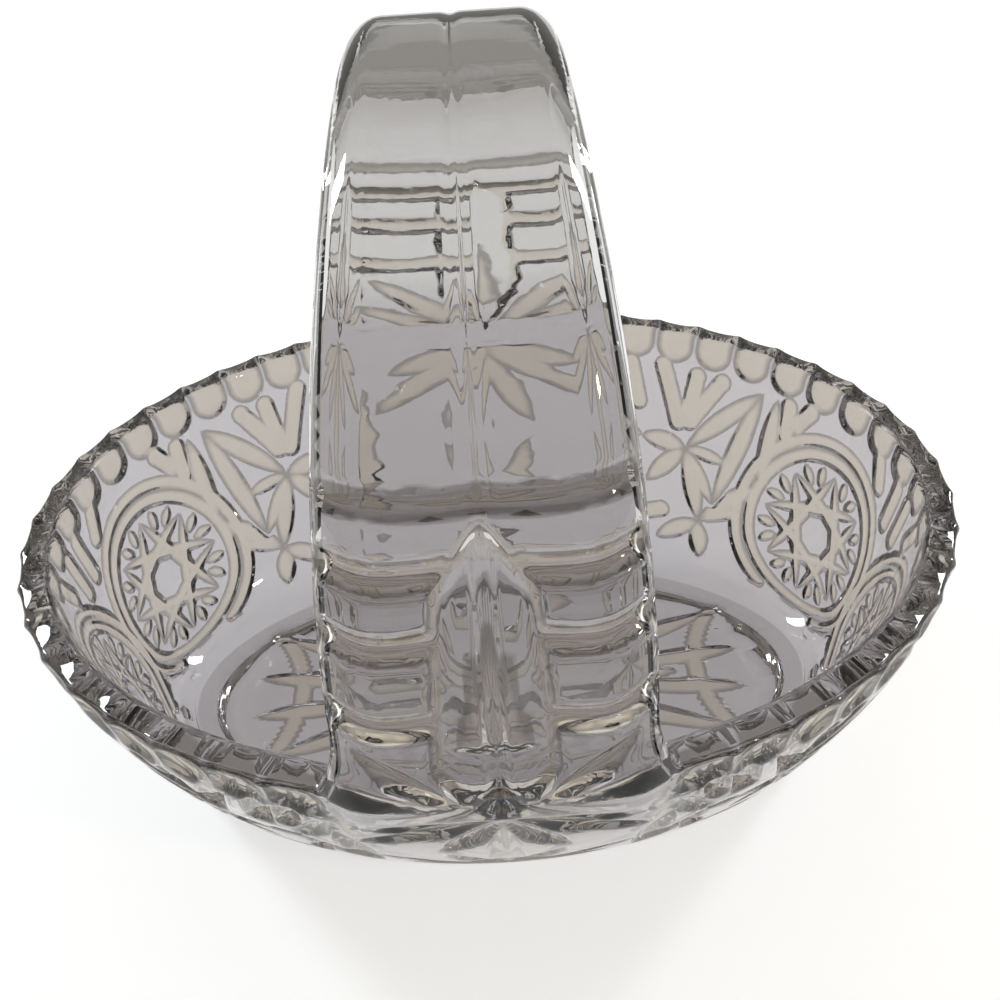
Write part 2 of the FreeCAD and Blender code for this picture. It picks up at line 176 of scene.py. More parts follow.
section_rows = bowl_rows()
print("rows of the section:", len(section_rows))


# %% Meshes that only carry points and attributes
def carrier(name, points, edges=(), **attributes):
    """A mesh object of points, with one number of each named attribute on each point."""
    mesh = bpy.data.meshes.new(name)
    mesh.from_pydata([tuple(p) for p in points], list(edges), [])
    for label, values in attributes.items():
        attribute = mesh.attributes.new(label, "FLOAT", "POINT")
        attribute.data.foreach_set("value", np.asarray(values, np.float32))
    made = bpy.data.objects.new(name, mesh)
    bpy.context.scene.collection.objects.link(made)
    return made


section = carrier("section", [(0, 0, z) for z in section_rows[:, 2]],
                  half_length=section_rows[:, 0], half_width=section_rows[:, 1])

# %% [markdown]
# ## Trees of nodes
# Geometry Nodes lay out what follows a rule, and here nearly all of it does. A few helpers keep the trees
# short: one makes a tree with named inputs, one adds a node and fills its sockets with numbers or links,
# and one puts a tree on an object as a modifier, setting each input by the identifier of its socket.
# %% Helpers for trees
def new_tree(name, inputs):
    tree = bpy.data.node_groups.new(name, "GeometryNodeTree")
    tree.interface.new_socket("Geometry", in_out="INPUT", socket_type="NodeSocketGeometry")
    for label, (kind, value) in inputs.items():
        socket = tree.interface.new_socket(label, in_out="INPUT", socket_type="NodeSocket" + kind)
        if value is not None:
            socket.default_value = value
    tree.interface.new_socket("Geometry", in_out="OUTPUT", socket_type="NodeSocketGeometry")
    return tree, tree.nodes.new("NodeGroupInput").outputs, tree.nodes.new("NodeGroupOutput").inputs


def add(tree, kind, sockets=None, **settings):
    """A node of a kind, with its settings, and its sockets filled with a value or a link."""
    node = tree.nodes.new(kind)
    for label, value in settings.items():
        setattr(node, label, value)
    for label, value in (sockets or {}).items():
        if isinstance(value, bpy.types.NodeSocket):
            tree.links.new(value, node.inputs[label])
        else:
            node.inputs[label].default_value = value
    return node.outputs


def sums(tree, operation, *values):
    return add(tree, "ShaderNodeMath", dict(enumerate(values)), operation=operation)[0]


def look_up(tree, geometry, label, index):
    """The value of a named attribute at one point of another geometry."""
    value = add(tree, "GeometryNodeInputNamedAttribute", {"Name": label}, data_type="FLOAT")[0]
    sockets = {"Geometry": geometry, "Value": value, "Index": index}
    return add(tree, "GeometryNodeSampleIndex", sockets, data_type="FLOAT", domain="POINT")[0]


def put_on(piece, tree, **values):
    modifier = piece.modifiers.new(tree.name, "NODES")
    modifier.node_group = tree
    for item in tree.interface.items_tree:
        label = item.name.lower().replace(" ", "_")
        if item.item_type == "SOCKET" and item.in_out == "INPUT" and label in values:
            modifier[item.identifier] = values[label]
    return modifier


def bake(piece):
    """Replaces a piece's mesh by what its modifiers make of it, and removes them."""
    graph = bpy.context.evaluated_depsgraph_get()
    graph.update()
    mesh = bpy.data.meshes.new_from_object(piece.evaluated_get(graph))
    piece.modifiers.clear()
    piece.data = mesh
    return piece


# %% [markdown]
# ## The blank bowl
# A bowl can be turned by Spin or Screw, but this one is oval and its length and width flare by different
# amounts, so a spun shape can't be stretched into it. Instead a flat grid is wrapped: one way of the grid
# counts the rows of the section, the other goes round, and each point moves to its place on the oval of
# its row. The seam and the two poles are then closed by merging points that have come together. The
# outward direction is stored, because the pattern is pressed in along it.
# %% The oval shell tree
def make_shell_tree():
    tree, given, result = new_tree(
        "Oval shell", {"Section": ("Object", None), "Steps Round": ("Int", 720)})
    source = add(tree, "GeometryNodeObjectInfo", {"Object": given["Section"]})["Geometry"]
    size = add(tree, "GeometryNodeAttributeDomainSize", {"Geometry": source}, component="MESH")
    count = size["Point Count"]
    round_points = sums(tree, "ADD", given["Steps Round"], 1)
    sizes = {"Size X": 1.0, "Size Y": 1.0, "Vertices X": count, "Vertices Y": round_points}
    grid = add(tree, "GeometryNodeMeshGrid", sizes)["Mesh"]
    place = add(tree, "ShaderNodeSeparateXYZ", {0: add(tree, "GeometryNodeInputPosition")[0]})
    last = sums(tree, "SUBTRACT", count, 1)
    row = sums(tree, "MULTIPLY", sums(tree, "ADD", place["X"], 0.5), last)
    row = sums(tree, "ROUND", row)
    turn = sums(tree, "MULTIPLY", sums(tree, "ADD", place["Y"], 0.5), -math.tau)
    along = sums(tree, "MULTIPLY", look_up(tree, source, "half_length", row), sums(tree, "COSINE", turn))
    across = sums(tree, "MULTIPLY", look_up(tree, source, "half_width", row), sums(tree, "SINE", turn))
    height = add(tree, "ShaderNodeSeparateXYZ", {0: add(
        tree, "GeometryNodeSampleIndex",
        {"Geometry": source, "Value": add(tree, "GeometryNodeInputPosition")[0], "Index": row},
        data_type="FLOAT_VECTOR", domain="POINT")[0]})["Z"]
    spot = add(tree, "ShaderNodeCombineXYZ", {"X": along, "Y": across, "Z": height})[0]
    wrapped = add(tree, "GeometryNodeSetPosition", {"Geometry": grid, "Position": spot})[0]
    closed = add(tree, "GeometryNodeMergeByDistance", {"Geometry": wrapped, "Distance": 0.002 * MM})[0]
    outward = {"Geometry": closed, "Name": "outward", "Value": add(tree, "GeometryNodeInputNormal")[0]}
    noted = add(tree, "GeometryNodeStoreNamedAttribute", outward, data_type="FLOAT_VECTOR", domain="POINT")[0]
    tree.links.new(add(tree, "GeometryNodeRealizeInstances", {"Geometry": noted})[0], result[0])
    return tree


bowl = carrier("glass_basket_pressed", [(0, 0, 0)])
put_on(bowl, make_shell_tree(), section=section, steps_round=1200)
bake(bowl)
print("blank bowl:", len(bowl.data.vertices), "points,", len(bowl.data.polygons), "faces")

# %% [markdown]
# ## The strap handle
# The handle is a broad strap that springs from the rim, a little flared at its root, and arches across
# the width. Its outside has two low, nearly flat lobes with a soft groove between them, and its edges are
# rounded. Flat lobes matter here, because the far leg is seen through them. Curve to Mesh would carry one
# section along a path, but this section gets narrower towards the crest without getting thinner, so the
# sections are worked out one by one and joined into a closed tube. The ends get a little thinner and run
# down inside the wall, so that the inside of the leg passes into the wall without a ledge.
# %% Path and width of the strap
ROOT_TURN = -6.0                  # the path's stretch below 0 degrees runs down inside the wall
ROOT_DEPTH = 9 * MM
ROOT_THICK, ROOT_BLEND = 5.4 * MM, (-1.5, 4.0)
FLARE, FLARE_TURN = 3.5 * MM, 8.0
GROOVE_REACH, SHOULDER_START = 0.06, 0.66      # shares of the half width
arch_reach = RIM[1] / 2
arch_rise = CREST_HEIGHT - RIM_HEIGHT - STRAP_CROWN


def fold(turn):
    """The arch is the same on both sides: a turn past the crest counts back from the other rim."""
    return 90 - abs(np.asarray(turn, float) - 90)


def arch(turn):
    """Middle of the strap's outer face and its outward direction, at a turn of the arch in degrees."""
    near = fold(turn)
    side = np.where(np.asarray(turn) > 90, -1.0, 1.0)
    above = np.radians(np.maximum(near, 0))
    down = np.maximum(-near, 0) / -ROOT_TURN * ROOT_DEPTH
    wall_half = half_sizes(1 - down / wall_rise)[1]
    y = np.where(near > 0, arch_reach * np.cos(above), wall_half)
    z = RIM_HEIGHT + arch_rise * np.sin(above) - down
    lean = np.stack([0 * y, np.cos(above) / arch_reach, np.sin(above) / arch_rise], -1)
    lean /= np.linalg.norm(lean, axis=-1, keepdims=True)
    flip = np.stack([np.ones_like(side), side, np.ones_like(side)], -1)
    return np.stack([0 * y, y, z], -1) * flip, lean * flip


def strap_half(turn):
    near = fold(turn)
    taper = STRAP_CREST + (STRAP_ROOT - STRAP_CREST) * np.cos(np.radians(np.maximum(near, 0))) ** 2
    return taper / 2 + FLARE * np.maximum(0, 1 - np.maximum(near, 0) / FLARE_TURN) ** 2


def face_height(share, turn):
    """Height of the outer face over its middle line, at a share of the half width."""
    share = np.abs(share)
    lobe = STRAP_CROWN - STRAP_GROOVE * np.exp(-(share / GROOVE_REACH) ** 2)
    beyond = np.maximum(share - SHOULDER_START, 0) / (1 - SHOULDER_START)
    fall = (STRAP_CROWN + STRAP_SHOULDER) * beyond ** 2.2
    sink = (STRAP_CROWN + 0.6 * MM) * np.minimum(np.maximum(-fold(turn), 0) / 3.0, 1)
    return lobe - fall - sink


def on_strap(x, turn):
    """Points of the strap's outer face."""
    middle, out = arch(turn)
    height = face_height(x / strap_half(turn), turn)
    return middle + out * height[..., None] + np.stack([x, 0 * x, 0 * x], -1)


print("strap width at crest and root, mm:", 2000 * float(strap_half(90)), 2000 * float(strap_half(0)))


# %% The strap as a closed tube
def closed_mesh(name, rings):
    """A tube through rings of points, all with the same count, closed by a cap at each end."""
    steps, sides = rings.shape[:2]
    ring = np.arange(steps - 1)[:, None] * sides
    here = np.arange(sides)[None, :]
    there = (here + 1) % sides
    quads = np.stack([ring + here, ring + there, ring + sides + there, ring + sides + here], -1)
    caps = [list(range(sides))[::-1], list(range((steps - 1) * sides, steps * sides))]
    mesh = bpy.data.meshes.new(name)
    mesh.from_pydata(rings.reshape(-1, 3).tolist(), [], quads.reshape(-1, 4).tolist() + caps)
    made = bpy.data.objects.new(name, mesh)
    bpy.context.scene.collection.objects.link(made)
    return made


def strap_rings(steps=480, face_steps=90, edge_steps=9, inner_steps=24):
    turns = np.linspace(ROOT_TURN, 180 - ROOT_TURN, steps)
    middle, out = arch(turns)
    half = strap_half(turns)
    thick = np.interp(fold(turns), ROOT_BLEND, (ROOT_THICK, STRAP_THICK))
    edge = STRAP_THICK / 2 - 0.4 * MM
    lines = []
    for share in np.linspace(-1, 1, face_steps):
        lines.append((half * share * (1 - 0.35 * edge / half), face_height(share, turns)))
    side_top = face_height(1.0, turns)
    for bend in np.radians(np.linspace(70, -90, edge_steps)):
        middle_height = (side_top - thick) / 2
        spread = (side_top + thick) / 2
        lines.append((half - edge * (1 - math.cos(bend)), middle_height + spread * math.sin(bend)))
    for share in np.linspace(0.98, -0.98, inner_steps):
        lines.append(((half - edge) * share, -thick + 0 * half))
    for bend in np.radians(np.linspace(-90, 70, edge_steps)):
        middle_height = (side_top - thick) / 2
        spread = (side_top + thick) / 2
        lines.append((-half + edge * (1 - math.cos(bend)), middle_height + spread * math.sin(bend)))
    rings = [middle + out * height[:, None] + np.stack([x, 0 * x, 0 * x], -1) for x, height in lines]
    return np.stack(rings, 1)


def signed_volume(mesh):
    mesh.calc_loop_triangles()
    corners = np.zeros(len(mesh.loop_triangles) * 3, np.int32)
    mesh.loop_triangles.foreach_get("vertices", corners)
    points = np.zeros(len(mesh.vertices) * 3, np.float32)
    mesh.vertices.foreach_get("co", points)
    a, b, c = points.reshape(-1, 3)[corners.reshape(-1, 3)].transpose(1, 0, 2).astype(float)
    return float(np.einsum("ij,ij->i", a, np.cross(b, c)).sum() / 6)


def note_outward(piece):
    """Turns the faces outwards where they point in, and stores the outward direction of each point."""
    if signed_volume(piece.data) < 0:
        piece.data.flip_normals()
    ways = np.array([n.vector for n in piece.data.vertex_normals], np.float32)
    outward = piece.data.attributes.new("outward", "FLOAT_VECTOR", "POINT")
    outward.data.foreach_set("vector", ways.ravel())


strap = closed_mesh("strap", strap_rings())
note_outward(strap)
for piece in (strap, bowl):
    print(piece.name, "cm3:", round(signed_volume(piece.data) * 1e6, 1))

# %% [markdown]
# ## The pattern as strokes
# The mould cutter works with a few tools, and each leaves one kind of groove: a long pointed mitre, a
# fine one, a blunt finger, a band. A stroke is the path of such a tool over the glass, as closely spaced
# points, and each point says how far the groove reaches to the side and how deep it is. Strokes are set
# out on one quarter of the wall, by the angle round the oval and the share of the height, and mirrored to
# the other three.
# %% Helpers for strokes
SPACING = 0.3 * MM


def along_path(surface, start, end, bow=0.0):
    """Points from one place of a surface to another. The bow bends the path in the first coordinate."""
    rough = surface(*(np.linspace(a, b, 9) for a, b in zip(start, end)))
    count = max(6, int(np.linalg.norm(np.diff(rough, axis=0), axis=1).sum() / SPACING))
    share = np.linspace(0, 1, count)
    first = start[0] + (end[0] - start[0]) * share + bow * np.sin(math.pi * share)
    return surface(first, start[1] + (end[1] - start[1]) * share), share


def mitre(surface, start, end, width, depth, bow=0.0):
    """A groove with pointed ends, widest and deepest in its middle."""
    points, share = along_path(surface, start, end, bow)
    swell = np.sin(math.pi * np.clip(share, 0.01, 0.99)) ** 0.6
    return points, width / 2 * swell, depth * swell


def finger(surface, start, end, width, depth, bow=0.0):
    """A groove with round ends, of one width."""
    points, share = along_path(surface, start, end, bow)
    return points, width / 2 + 0 * share, depth + 0 * share


def all_round(strokes):
    """Mirrors strokes of one quarter to the other three and joins them into one cloud of points."""
    points, reach, depth = (np.concatenate(part) for part in zip(*strokes))
    flips = [(1, 1, 1), (-1, 1, 1), (1, -1, 1), (-1, -1, 1)]
    return np.concatenate([points * flip for flip in flips]), np.tile(reach, 4), np.tile(depth, 4)


def stroke_object(name, strokes):
    points, reach, depth = all_round(strokes)
    print(name, "strokes:", len(strokes), "points:", len(points))
    return carrier(name, points, reach=reach, depth=depth)


# %% [markdown]
# ## The medallions
# Each end of the bowl has two round medallions side by side. A medallion is a smooth double band, and
# inside it an eight-pointed star made of eight straight grooves, each from one point to the third one
# round. Small pairs of petals fill the places between the points. They are set out in the plane that
# touches the wall at the medallion's middle, and each place is then moved out onto the wall.
# %% Medallion places
MEDALLION_TURN, MEDALLION_HEIGHT = 20.0, 29 * MM
BAND_RADIUS, STAR_RADIUS = 22 * MM, 17 * MM
BAND_SIDES, BAND_REACH, BAND_DEPTH = (-1.6 * MM, 2.1 * MM), 2.0 * MM, 1.3 * MM
STAR_WIDTH, STAR_DEPTH = 4.2 * MM, 1.5 * MM
PETAL_FROM, PETAL_TO, PETAL_TURN = 12.5 * MM, 18.2 * MM, 5
PETAL_WIDTH, PETAL_DEPTH = 3.2 * MM, 1.2 * MM
medallion_share = (MEDALLION_HEIGHT - FOOT_HEIGHT) / wall_rise
centre = on_wall(np.array(MEDALLION_TURN), np.array(medallion_share))
nearby = on_wall(np.array(MEDALLION_TURN + 0.1), np.array(medallion_share))
above = on_wall(np.array(MEDALLION_TURN), np.array(medallion_share + 0.002))
level_way = (nearby - centre) / np.linalg.norm(nearby - centre)
steep_way = (above - centre) / np.linalg.norm(above - centre)


def in_medallion(radius, turn):
    """A place of the medallion, by its distance from the middle and its direction, moved onto the wall."""
    turn = np.radians(turn)
    level, steep = radius * np.cos(turn), radius * np.sin(turn)
    spot = centre + level_way * level[..., None] + steep_way * steep[..., None]
    share = np.clip((spot[..., 2] - FOOT_HEIGHT) / wall_rise, 0.0, 1.0)
    along, across = half_sizes(share)
    return on_wall(np.degrees(np.arctan2(spot[..., 1] / across, spot[..., 0] / along)), share)


def flat_medallion(across, up):
    return in_medallion(np.hypot(across, up), np.degrees(np.arctan2(up, across)))


def star_strokes():
    turns = np.radians(np.arange(8) * 45)
    tips = [(STAR_RADIUS * math.cos(turn), STAR_RADIUS * math.sin(turn)) for turn in turns]
    return [mitre(flat_medallion, tips[k], tips[(k + 3) % 8], STAR_WIDTH, STAR_DEPTH) for k in range(8)]


def star_petals():
    strokes = []
    for k in range(8):
        for side in (-1, 1):
            turn = 45 * k + 22.5 + PETAL_TURN * side
            start, end = (PETAL_FROM, turn), (PETAL_TO, turn + PETAL_TURN * side)
            strokes.append(mitre(in_medallion, start, end, PETAL_WIDTH, PETAL_DEPTH))
    return strokes


def band_strokes():
    turns = np.arange(0, 360, 0.6)
    rings = []
    for side in BAND_SIDES:
        points = in_medallion(BAND_RADIUS + side + 0 * turns, turns)
        points = points[points[:, 2] > FOOT_HEIGHT + 1 * MM]
        same = np.ones(len(points))
        rings.append((points, BAND_REACH * same, BAND_DEPTH * same))
    return rings


print("medallion middle, mm:", [round(1000 * float(v), 1) for v in centre])

# %% [markdown]
# ## The open wall
# Between the medallions and the handle run long mitres that meet in hubs, with a diamond window left
# plain between them, pairs of round fingers that spread from the hubs to the rim, and a fan under each
# leg of the handle. The hubs are named places, as the angle round the oval and the share of the height.
# %% Wall strokes
SPOTS = {
    "apex": (39.6, 0.80), "blade_foot": (46.0, 0.27),
    "corner": (37.0, 0.42), "corner_top": (36.5, 0.80), "corner_low": (38.5, 0.30),
    "hub": (53.0, 0.48), "hub_side": (44.5, 0.46), "hub_out": (61.5, 0.50), "hub_down": (60.0, 0.31),
    "low": (48.5, 0.19), "low_foot": (47.0, 0.02), "low_out": (57.0, 0.07),
    "side_low": (72.0, 0.04), "side_high": (72.5, 0.80), "side_hub": (66.0, 0.52),
    "panel_top": (90.0, 0.86), "panel_foot": (90.0, 0.05),
    "high_edge": (74.0, 0.60), "high_out": (77.0, 0.76), "high_in": (83.0, 0.50),
    "low_edge": (74.0, 0.34), "panel_out": (76.5, 0.16), "low_in": (83.0, 0.44),
}
LONG = [
    ("apex", "hub"), ("apex", "blade_foot"), ("corner_top", "corner"), ("hub", "hub_out"),
    ("hub", "hub_down"), ("hub", "low"), ("corner", "low"), ("low", "low_foot"), ("low", "low_out"),
    ("side_high", "side_low"), ("side_hub", "side_high"), ("side_hub", "side_low"),
    ("panel_top", "high_edge"), ("panel_foot", "low_edge"), ("panel_top", "high_out"),
    ("panel_foot", "panel_out"), ("panel_top", "high_in"), ("panel_foot", "low_in"),
    ("panel_top", "panel_foot"),
]
SHORT = [("hub", "hub_side"), ("hub", "blade_foot"), ("corner_low", "low"), ("side_hub", "hub_out")]
FINGERS = [
    ((53.4, 0.60), (52.3, 0.79)), ((52.8, 0.59), (47.6, 0.79)), ((55.0, 0.58), (58.5, 0.81)),
    ((33.6, 0.67), (34.0, 0.79)), ((31.8, 0.73), (29.3, 0.81)), ((62.5, 0.64), (64.2, 0.80)),
    ((66.5, 0.68), (67.5, 0.81)), ((8.5, 0.74), (10.5, 0.82)), ((2.6, 0.66), (2.6, 0.81)),
    ((56.5, 0.20), (60.5, 0.17)), ((64.5, 0.20), (66.0, 0.32)),
]
MITRE_WIDTH, MITRE_DEPTH = 6.0 * MM, 1.5 * MM
FINE_WIDTH, FINE_DEPTH = 4.2 * MM, 1.4 * MM
FINGER_WIDTH, FINGER_DEPTH = 5.2 * MM, 1.4 * MM
long_strokes = [mitre(on_wall, SPOTS[a], SPOTS[b], MITRE_WIDTH, MITRE_DEPTH) for a, b in LONG]
fine_strokes = [mitre(on_wall, SPOTS[a], SPOTS[b], FINE_WIDTH, FINE_DEPTH) for a, b in SHORT]
fine_strokes += star_petals()
finger_strokes = [finger(on_wall, start, end, FINGER_WIDTH, FINGER_DEPTH) for start, end in FINGERS]

# %% [markdown]
# ## The legs of the handle and the base
# On each leg a long leaf of two flat faces runs from under the rim up the strap, cross grooves stand
# beside it like rungs, and rays spread from its foot. The leaf's half width is written at four turns of
# the arch, because that is how its outline was drawn. The base has a star of long rays with slim leaves
# between them and a band across each end, pressed up from below into the hollow of the foot, where they
# shine through the floor.
# %% Strap and base strokes
LEAF_TURNS = (-5.0, 5.0, 25.0, 31.0)
LEAF_HALVES = (0.2 * MM, 9.8 * MM, 7.6 * MM, 0.2 * MM)
LEAF_DEPTH, LEAF_TAPER = 2.1 * MM, 2.5 * MM
LINE_REACH, LINE_DEPTH = 2.0 * MM, 1.2 * MM
RUNGS = {33.5: 0.35, 27.0: 1.0, 20.0: 1.0, 11.5: 1.0}      # turn of the arch: share of the depth
RUNG_WIDTH, RUNG_DEPTH, RUNG_LIFT, RUNG_BOW = 4.8 * MM, 1.5 * MM, 1.2, -0.8
FAN_RAYS = [((-3.0, 3.5), (9.0, 21.5)), ((-3.5, 6.0), (3.5, 24.0))]      # turn, and mm from the middle
FAN_WIDTH, FAN_DEPTH = 5.0 * MM, 1.5 * MM


def strap_path(turn, x):
    return on_strap(x + 0 * turn, turn)


def leaf_strokes():
    points, share = along_path(strap_path, (LEAF_TURNS[0], 0.0), (LEAF_TURNS[-1], 0.0))
    half = np.interp(LEAF_TURNS[0] + share * (LEAF_TURNS[-1] - LEAF_TURNS[0]), LEAF_TURNS, LEAF_HALVES)
    return [(points, half, LEAF_DEPTH * np.minimum(1, half / LEAF_TAPER))]


def leaf_lines():
    """The groove along the middle of the leaf, which starts from the leaf's floor."""
    points, share = along_path(strap_path, (LEAF_TURNS[0] + 1, 0.0), (LEAF_TURNS[-1] - 1, 0.0))
    swell = np.minimum(1, 5 * np.sin(math.pi * share))
    return [(points, LINE_REACH * swell, (LEAF_DEPTH + LINE_DEPTH) * swell)]


def fan_strokes():
    """Rays from the foot of the leaf up to the edges of the strap."""
    return [mitre(strap_path, (low, near * MM), (high, far * MM), FAN_WIDTH, FAN_DEPTH)
            for (low, near), (high, far) in FAN_RAYS]


def rung_strokes():
    strokes = []
    for turn, strength in RUNGS.items():
        start = (turn, float(np.interp(turn, LEAF_TURNS, LEAF_HALVES)))
        end = (turn + RUNG_LIFT, float(strap_half(turn)) - 1 * MM)
        strokes.append(finger(strap_path, start, end, RUNG_WIDTH, RUNG_DEPTH * strength, bow=RUNG_BOW))
    return strokes


def on_base(turn, share):
    """A place of the foot's hollow, by its direction and its share of the way to the ring."""
    along, across = (share * (half / 2 - FOOT_RING) for half in FOOT)
    turn = np.radians(turn)
    return np.stack([along * np.cos(turn), across * np.sin(turn), RECESS + 0 * share * turn], -1)


BASE_RAYS, RAY_END = (33.0, 90.0), 0.93
RAY_WIDTH, RAY_DEPTH = 7 * MM, 2.0 * MM
BASE_LEAVES = ((50.0, 0.40, 0.80), (72.0, 0.40, 0.84), (11.0, 0.42, 0.86), (0.0, 0.30, 0.62))
BASE_LEAF_WIDTH, BASE_LEAF_DEPTH = 6 * MM, 1.5 * MM
ARC_MIDDLE, ARC_ALONG, ARC_ACROSS = 71 * MM, 22 * MM, 27 * MM
ARC_REACH, ARC_DEPTH = 2.4 * MM, 1.4 * MM


def end_arc():
    """A band that curves across each end of the hollow."""
    turns = np.radians(np.linspace(0, 66, 160))
    line = [ARC_MIDDLE - ARC_ALONG * np.cos(turns), ARC_ACROSS * np.sin(turns), RECESS + 0 * turns]
    return np.stack(line, -1), ARC_REACH + 0 * turns, ARC_DEPTH + 0 * turns


base_strokes = []
for turn in BASE_RAYS:
    base_strokes.append(mitre(on_base, (turn, 0.0), (turn, RAY_END), RAY_WIDTH, RAY_DEPTH))
for turn, low, high in BASE_LEAVES:
    base_strokes.append(mitre(on_base, (turn, low), (turn, high), BASE_LEAF_WIDTH, BASE_LEAF_DEPTH))
base_strokes.append(end_arc())

# %% [markdown]
# ## The row of flutes
# Round the rim, short flutes open upwards side by side and give it its scalloped edge. Each is shallow at
# the top, so the edge only waves, and deeper at its round lower end. They repeat at one spacing, so one
# flute is drawn and a tree sets copies of it along a quarter of the rim, turned to the rim, and then lays
# their points down on the blank wall. Doing this by hand would mean a new layout for each spacing.
# %% The flute row tree
def make_row_tree():
    tree, given, result = new_tree("Row along a path", {
        "Path": ("Object", None), "One": ("Object", None), "Ground": ("Object", None), "Count": ("Int", 10)})
    path = add(tree, "GeometryNodeObjectInfo", {"Object": given["Path"]})["Geometry"]
    curve = add(tree, "GeometryNodeMeshToCurve", {"Mesh": path})[0]
    spots = add(tree, "GeometryNodeCurveToPoints", {"Curve": curve, "Count": given["Count"]}, mode="COUNT")
    turned = add(tree, "FunctionNodeAlignRotationToVector", {"Vector": spots["Tangent"]}, axis="Y")[0]
    one = add(tree, "GeometryNodeObjectInfo", {"Object": given["One"]})["Geometry"]
    copies = {"Points": spots["Points"], "Instance": one, "Rotation": turned}
    row = add(tree, "GeometryNodeInstanceOnPoints", copies)[0]
    loose = add(tree, "GeometryNodeRealizeInstances", {"Geometry": row})[0]
    ground = add(tree, "GeometryNodeObjectInfo", {"Object": given["Ground"]})["Geometry"]
    near = add(tree, "GeometryNodeProximity", {"Geometry": ground}, target_element="FACES")["Position"]
    laid = add(tree, "GeometryNodeSetPosition", {"Geometry": loose, "Position": near})[0]
    tree.links.new(laid, result[0])
    return tree


FLUTE_PITCH, FLUTE_DROP, FLUTE_DEPTH, FLUTE_REACH = 10.6 * MM, 11.5 * MM, 1.5 * MM, 5.5 * MM
FLUTE_TOP = 0.35                  # depth at the edge, as a share of the full depth
rim_turns = np.linspace(0, 90, 400)
rim_line = on_wall(rim_turns, 1.0 + 0 * rim_turns)
rim_line = rim_line[rim_line[:, 0] > float(strap_half(0)) - 1 * MM]
rim_run = float(np.linalg.norm(np.diff(rim_line, axis=0), axis=1).sum())
flute_count = round(rim_run / FLUTE_PITCH)
inset = np.linspace(0, 1, 2 * flute_count + 1)[1::2]
lengths = np.cumsum(np.linalg.norm(np.diff(rim_line, axis=0), axis=1))
lengths = np.concatenate([[0], lengths]) / rim_run
path_points = np.stack([np.interp(inset, lengths, rim_line[:, i]) for i in range(3)], -1)
rim_path = carrier("rim_path", path_points, [(i, i + 1) for i in range(flute_count - 1)])
drop = np.linspace(0, 1, 50)
flute_points = np.stack([0 * drop, 0 * drop, (FLUTE_REACH - FLUTE_DROP) * drop], -1)
flute_depths = FLUTE_DEPTH * (FLUTE_TOP + (1 - FLUTE_TOP) * np.minimum(1, 1.6 * drop))
one_flute = carrier("one_flute", flute_points, reach=FLUTE_REACH + 0 * drop, depth=flute_depths)
flute_row = carrier("flute_row", [(0, 0, 0)])
put_on(flute_row, make_row_tree(), path=rim_path, one=one_flute, ground=bowl, count=flute_count)
bake(flute_row)
quarter_points = np.array([tuple(v.co) for v in flute_row.data.vertices])
noted = flute_row.data.attributes
reach, depth = (np.array([d.value for d in noted[label].data]) for label in ("reach", "depth"))
flutes = stroke_object("flutes", [(quarter_points, reach, depth)])
print("flutes on a quarter of the rim:", flute_count)

# %% [markdown]
# ## Pressing the pattern in
# A Boolean with hundreds of small cutters would leave knife edges and take minutes. A displacement by
# distance gives the soft grooves of pressed glass at once: each point of the glass looks for the nearest
# point of a stroke, and sinks by the depth that is written there, less the further it lies to the side.
# Roundness 1 leaves a V with straight sides, 2 a round trough and 7 a flat floor with steep sides, and
# Softness over 1 eases the groove's edge. Where grooves cross, the deepest one counts. The same tree is
# used once for each kind of stroke, and only the last tree moves the points, after a little smoothing of
# the depths.
# %% The press tree
def make_press_tree():
    tree, given, result = new_tree("Press strokes", {
        "Strokes": ("Object", None), "Roundness": ("Float", 1.5), "Softness": ("Float", 1.0)})
    strokes = add(tree, "GeometryNodeObjectInfo", {"Object": given["Strokes"]})["Geometry"]
    here = add(tree, "GeometryNodeInputPosition")[0]
    index = add(tree, "GeometryNodeSampleNearest", {"Geometry": strokes, "Sample Position": here})[0]
    sockets = {"Geometry": strokes, "Value": here, "Index": index}
    near = add(tree, "GeometryNodeSampleIndex", sockets, data_type="FLOAT_VECTOR", domain="POINT")[0]
    away = add(tree, "ShaderNodeVectorMath", {0: here, 1: near}, operation="DISTANCE")["Value"]
    share = sums(tree, "DIVIDE", away, look_up(tree, strokes, "reach", index))
    worn = sums(tree, "POWER", sums(tree, "MINIMUM", share, 1.0), given["Roundness"])
    left = sums(tree, "POWER", sums(tree, "SUBTRACT", 1.0, worn), given["Softness"])
    cut = sums(tree, "MULTIPLY", left, look_up(tree, strokes, "depth", index))
    before = add(tree, "GeometryNodeInputNamedAttribute", {"Name": "pressed"}, data_type="FLOAT")[0]
    deepest = sums(tree, "MAXIMUM", before, cut)
    sockets = {"Geometry": given["Geometry"], "Name": "pressed", "Value": deepest}
    noted = add(tree, "GeometryNodeStoreNamedAttribute", sockets, data_type="FLOAT", domain="POINT")[0]
    tree.links.new(noted, result[0])
    return tree


